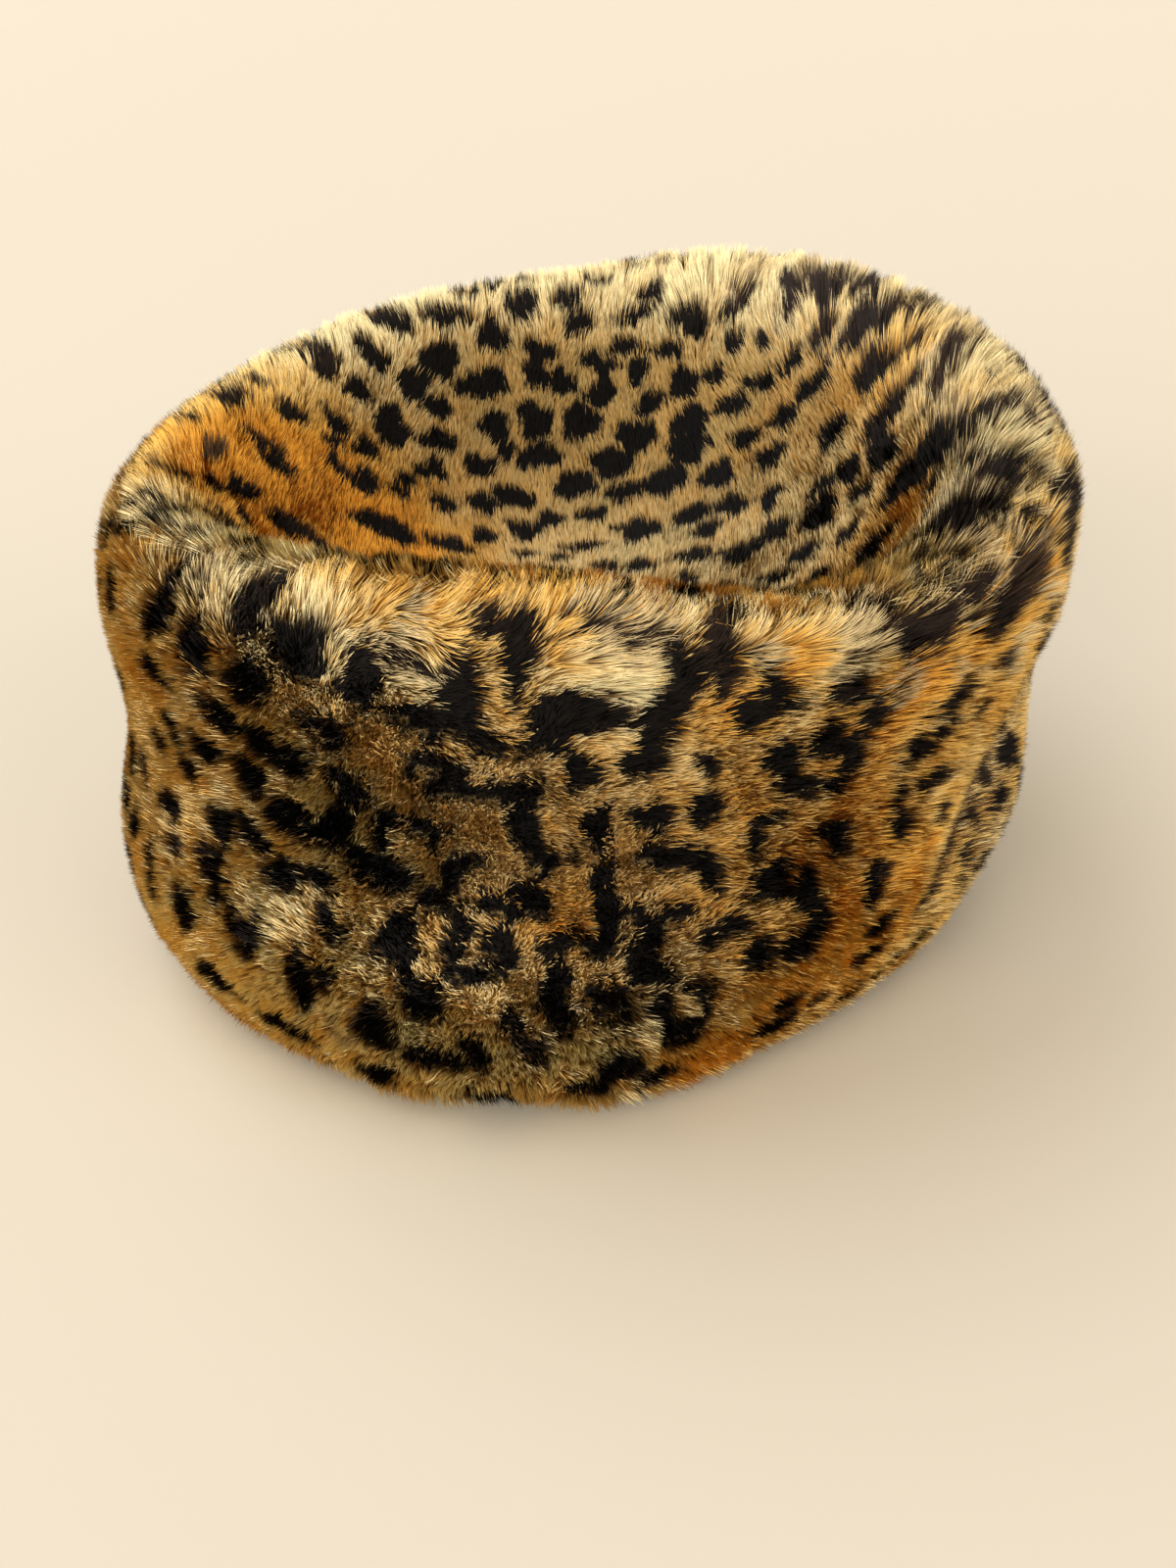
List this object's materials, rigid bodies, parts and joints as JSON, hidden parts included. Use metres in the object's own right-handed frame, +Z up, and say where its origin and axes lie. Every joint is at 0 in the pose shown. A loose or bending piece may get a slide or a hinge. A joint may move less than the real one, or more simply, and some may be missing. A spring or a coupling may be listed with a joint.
{
  "type": "pillbox hat",
  "caption": "Soft pillbox hat of leopard-print fur cloth, with a straight side band, a plump rim and a crown pushed in to a dish",
  "frame": {"origin": "middle of the hat's outline in plan, on the surface that its hem stands on", "axes": "+Z up through the crown, -Y towards the front, where the rim is lowest, +X to the hat's left as it is worn, which is on the right in a view of the front"},
  "size_m": [0.229, 0.224, 0.1291],
  "materials": {
    "band_fur": "matte",
    "crown_fur": "matte"
  },
  "bodies": {
    "root": {"side_band": "band_fur", "crown_tip": "crown_fur"}
  },
  "joints": []
}
